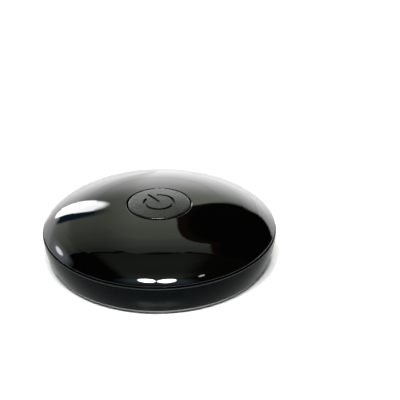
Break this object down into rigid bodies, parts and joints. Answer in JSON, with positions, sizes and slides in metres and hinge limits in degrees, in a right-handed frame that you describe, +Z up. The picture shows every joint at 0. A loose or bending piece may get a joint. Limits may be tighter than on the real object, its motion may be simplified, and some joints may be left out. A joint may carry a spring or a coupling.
{
  "type": "bluetooth tracker tag",
  "caption": "Round black tracker tag: glossy domed cover with a central push button, satin lower shell with a twist-off battery door, and a circuit board, buzzer and coin cell inside",
  "frame": {"origin": "centre of the resting face of the foot ring, below the centre of the button", "axes": "+Z up out of the button, along the axis of the round body; +Y is the way the button symbol points; +X to the right of it"},
  "size_m": [0.04, 0.04, 0.0108],
  "materials": {
    "cover_gloss": "high gloss moulded",
    "shell_satin": "satin, fine spark-eroded grain",
    "button_satin": "fine matte grain",
    "foot_rubber": "soft matte",
    "seal_silicone": "soft matte",
    "screw_steel": "black zinc plated",
    "contact_steel": "nickel plated spring steel",
    "switch_plastic": "moulded",
    "board_mask": "green solder mask",
    "pad_gold": "gold plated",
    "chip_resin": "moulded epoxy",
    "part_ceramic": "fired",
    "can_metal": "plain",
    "cell_steel": "nickel plated",
    "cell_polymer": "natural polypropylene",
    "cell_pellet": "pressed powder",
    "cradle_plastic": "natural moulded",
    "coil_copper": "enamelled copper",
    "port_fabric": "fine woven mesh"
  },
  "bodies": {
    "housing": {"top_cover": "cover_gloss", "lower_shell": "shell_satin", "seam_gasket": "seal_silicone", "foot_ring": "foot_rubber", "case_screws": "screw_steel", "button_diaphragm": "seal_silicone", "diaphragm_retainer": "cradle_plastic", "tact_switch_base": "switch_plastic", "tact_switch_cover": "contact_steel", "tact_switch_terminals": "contact_steel", "snap_dome": "contact_steel", "pcb": "board_mask", "ble_soc": "chip_resin", "main_crystal": "can_metal", "sleep_crystal": "can_metal", "chip_antenna": "part_ceramic", "antenna_matching_parts": "part_ceramic", "decoupling_capacitors": "part_ceramic", "pull_up_resistors": "chip_resin", "bulk_capacitor": "part_ceramic", "buzzer_transistor": "chip_resin", "flyback_diode": "chip_resin", "program_pads": "pad_gold", "coin_cell_can": "cell_steel", "coin_cell_cap": "cell_steel", "coin_cell_seal": "cell_polymer", "coin_cell_core": "cell_pellet", "negative_contact": "contact_steel", "positive_contacts": "contact_steel", "battery_cradle": "cradle_plastic", "buzzer_case": "switch_plastic", "buzzer_disc": "can_metal", "buzzer_magnet": "can_metal", "buzzer_coil": "coil_copper", "buzzer_core": "can_metal", "buzzer_gasket": "seal_silicone", "port_mesh": "port_fabric"},
    "button": {"button_cap": "button_satin"},
    "plunger": {"switch_plunger": "switch_plastic"},
    "door": {"battery_door": "shell_satin", "door_o_ring": "seal_silicone"}
  },
  "joints": [
    {"name": "button_press", "type": "slide", "parent": "housing", "child": "button", "axis": [0, 0, -1], "range_m": [0, 0.00025], "stiffness_N_per_m": 5000, "springref_m": -0.0001, "deforming": ["button_diaphragm"]},
    {"name": "plunger_press", "type": "slide", "parent": "housing", "child": "plunger", "axis": [0, 0, -1], "range_m": [0, 0.00025], "deforming": ["snap_dome"]},
    {"name": "battery_door_turn", "type": "hinge", "parent": "housing", "child": "door", "pos_m": [0, 0, 0], "axis": [0, 0, -1], "range_deg": [0, 30]}
  ],
  "couplings": [
    {"joint": "plunger_press", "follows": "button_press", "ratio": 1}
  ]
}
